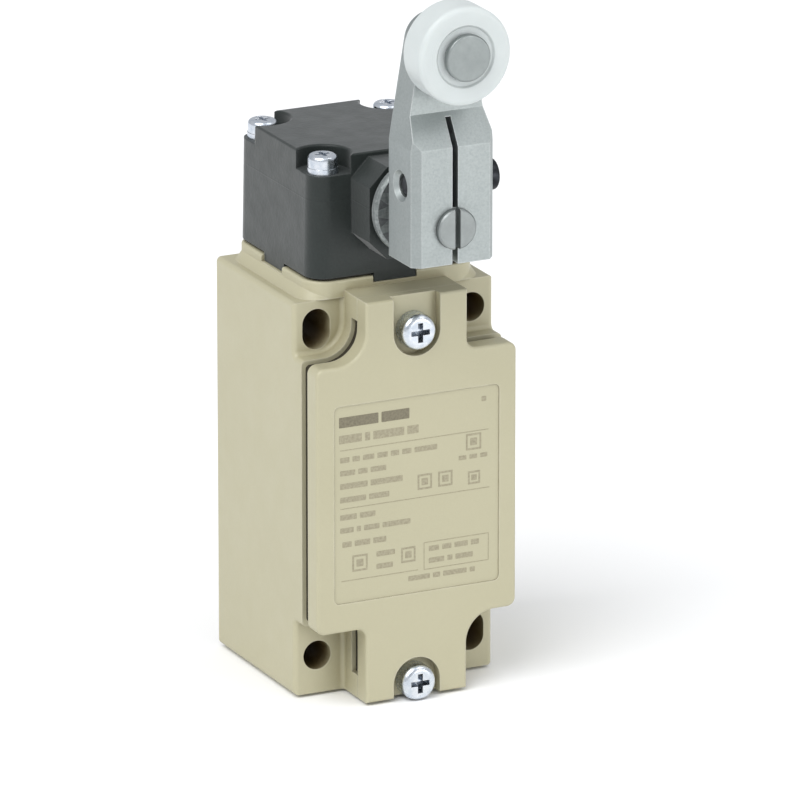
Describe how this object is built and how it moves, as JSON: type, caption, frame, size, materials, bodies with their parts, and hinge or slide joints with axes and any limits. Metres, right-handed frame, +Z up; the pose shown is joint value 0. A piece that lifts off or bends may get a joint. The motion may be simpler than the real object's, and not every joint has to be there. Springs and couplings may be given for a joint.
{
  "type": "limit switch",
  "caption": "Die-cast limit switch with a square operating head, a clamped roller lever on its front shaft, a screwed front cover and a conduit opening in the bottom.",
  "frame": {"origin": "centre of the mounting hole pattern, on the mounting face at the back", "axes": "+X to the right seen from the front, the front looks along -Y, +Z up along the box towards the head"},
  "size_m": [0.0388, 0.0608, 0.1306],
  "materials": {
    "beige_enamel": "baked beige paint on a die casting, satin, fine orange peel",
    "dark_casting": "dark grey painted die casting, satin",
    "cast_aluminium": "blasted die-cast aluminium, matt light grey",
    "white_nylon": "white nylon, slightly translucent, smooth",
    "zinc_steel": "bright zinc plated steel",
    "ground_steel": "ground steel, fine turning marks",
    "black_steel": "black oxide steel",
    "spring_wire": "drawn spring wire",
    "marker_metal": "dull plated plate",
    "bronze": "sintered bronze",
    "contact_brass": "pressed brass strip with silver rivets",
    "black_rubber": "matt black nitrile rubber",
    "block_plastic": "black moulded thermoset",
    "carrier_plastic": "red-brown moulded plastic"
  },
  "bodies": {
    "housing": {"switch_box": "beige_enamel", "front_cover": "beige_enamel", "cover_gasket": "black_rubber", "cover_screws": "zinc_steel", "operating_head": "dark_casting", "head_gasket": "black_rubber", "head_screws": "zinc_steel", "head_screw_washers": "zinc_steel", "shaft_bearing": "bronze", "shaft_seal": "black_rubber", "position_marker_plate": "marker_metal", "plunger_guide": "bronze", "plunger_seal": "black_rubber", "return_spring": "spring_wire", "switch_block_case": "block_plastic", "switch_block_cover": "block_plastic", "carrier_spring": "spring_wire", "nc_terminals": "contact_brass", "no_terminals": "contact_brass", "terminal_washers": "zinc_steel", "terminal_screws": "zinc_steel", "block_screws": "zinc_steel", "ground_screw": "zinc_steel"},
    "lever_arm": {"lever": "cast_aluminium", "lever_bolt": "black_steel", "lever_bolt_washer": "black_steel", "rotary_shaft": "ground_steel", "cam": "ground_steel", "cam_pin": "ground_steel", "shaft_retaining_ring": "black_steel", "roller_pin": "ground_steel", "roller_washer": "ground_steel"},
    "roller_wheel": {"roller": "white_nylon"},
    "plunger": {"head_plunger": "ground_steel"},
    "carrier": {"contact_carrier": "carrier_plastic", "nc_bridge": "contact_brass", "no_bridge": "contact_brass", "contact_springs": "spring_wire"}
  },
  "joints": [
    {"name": "lever_swing", "type": "hinge", "parent": "housing", "child": "lever_arm", "pos_m": [0, -0.031, 0.05285], "axis": [0, 1, 0], "range_deg": [-75, 75], "stiffness_Nm_per_rad": 0.3},
    {"name": "roller_spin", "type": "hinge", "parent": "lever_arm", "child": "roller_wheel", "pos_m": [0, -0.056, 0.08435], "axis": [0, 1, 0], "continuous": true},
    {"name": "plunger_push", "type": "slide", "parent": "housing", "child": "plunger", "axis": [0, 0, -1], "range_m": [0, 0.0022], "stiffness_N_per_m": 1500, "springref_m": -0.002, "deforming": ["return_spring"]},
    {"name": "carrier_push", "type": "slide", "parent": "housing", "child": "carrier", "axis": [0, 0, -1], "range_m": [0, 0.0022], "deforming": ["carrier_spring"]}
  ],
  "couplings": [
    {"joint": "carrier_push", "follows": "plunger_push", "ratio": 1}
  ]
}
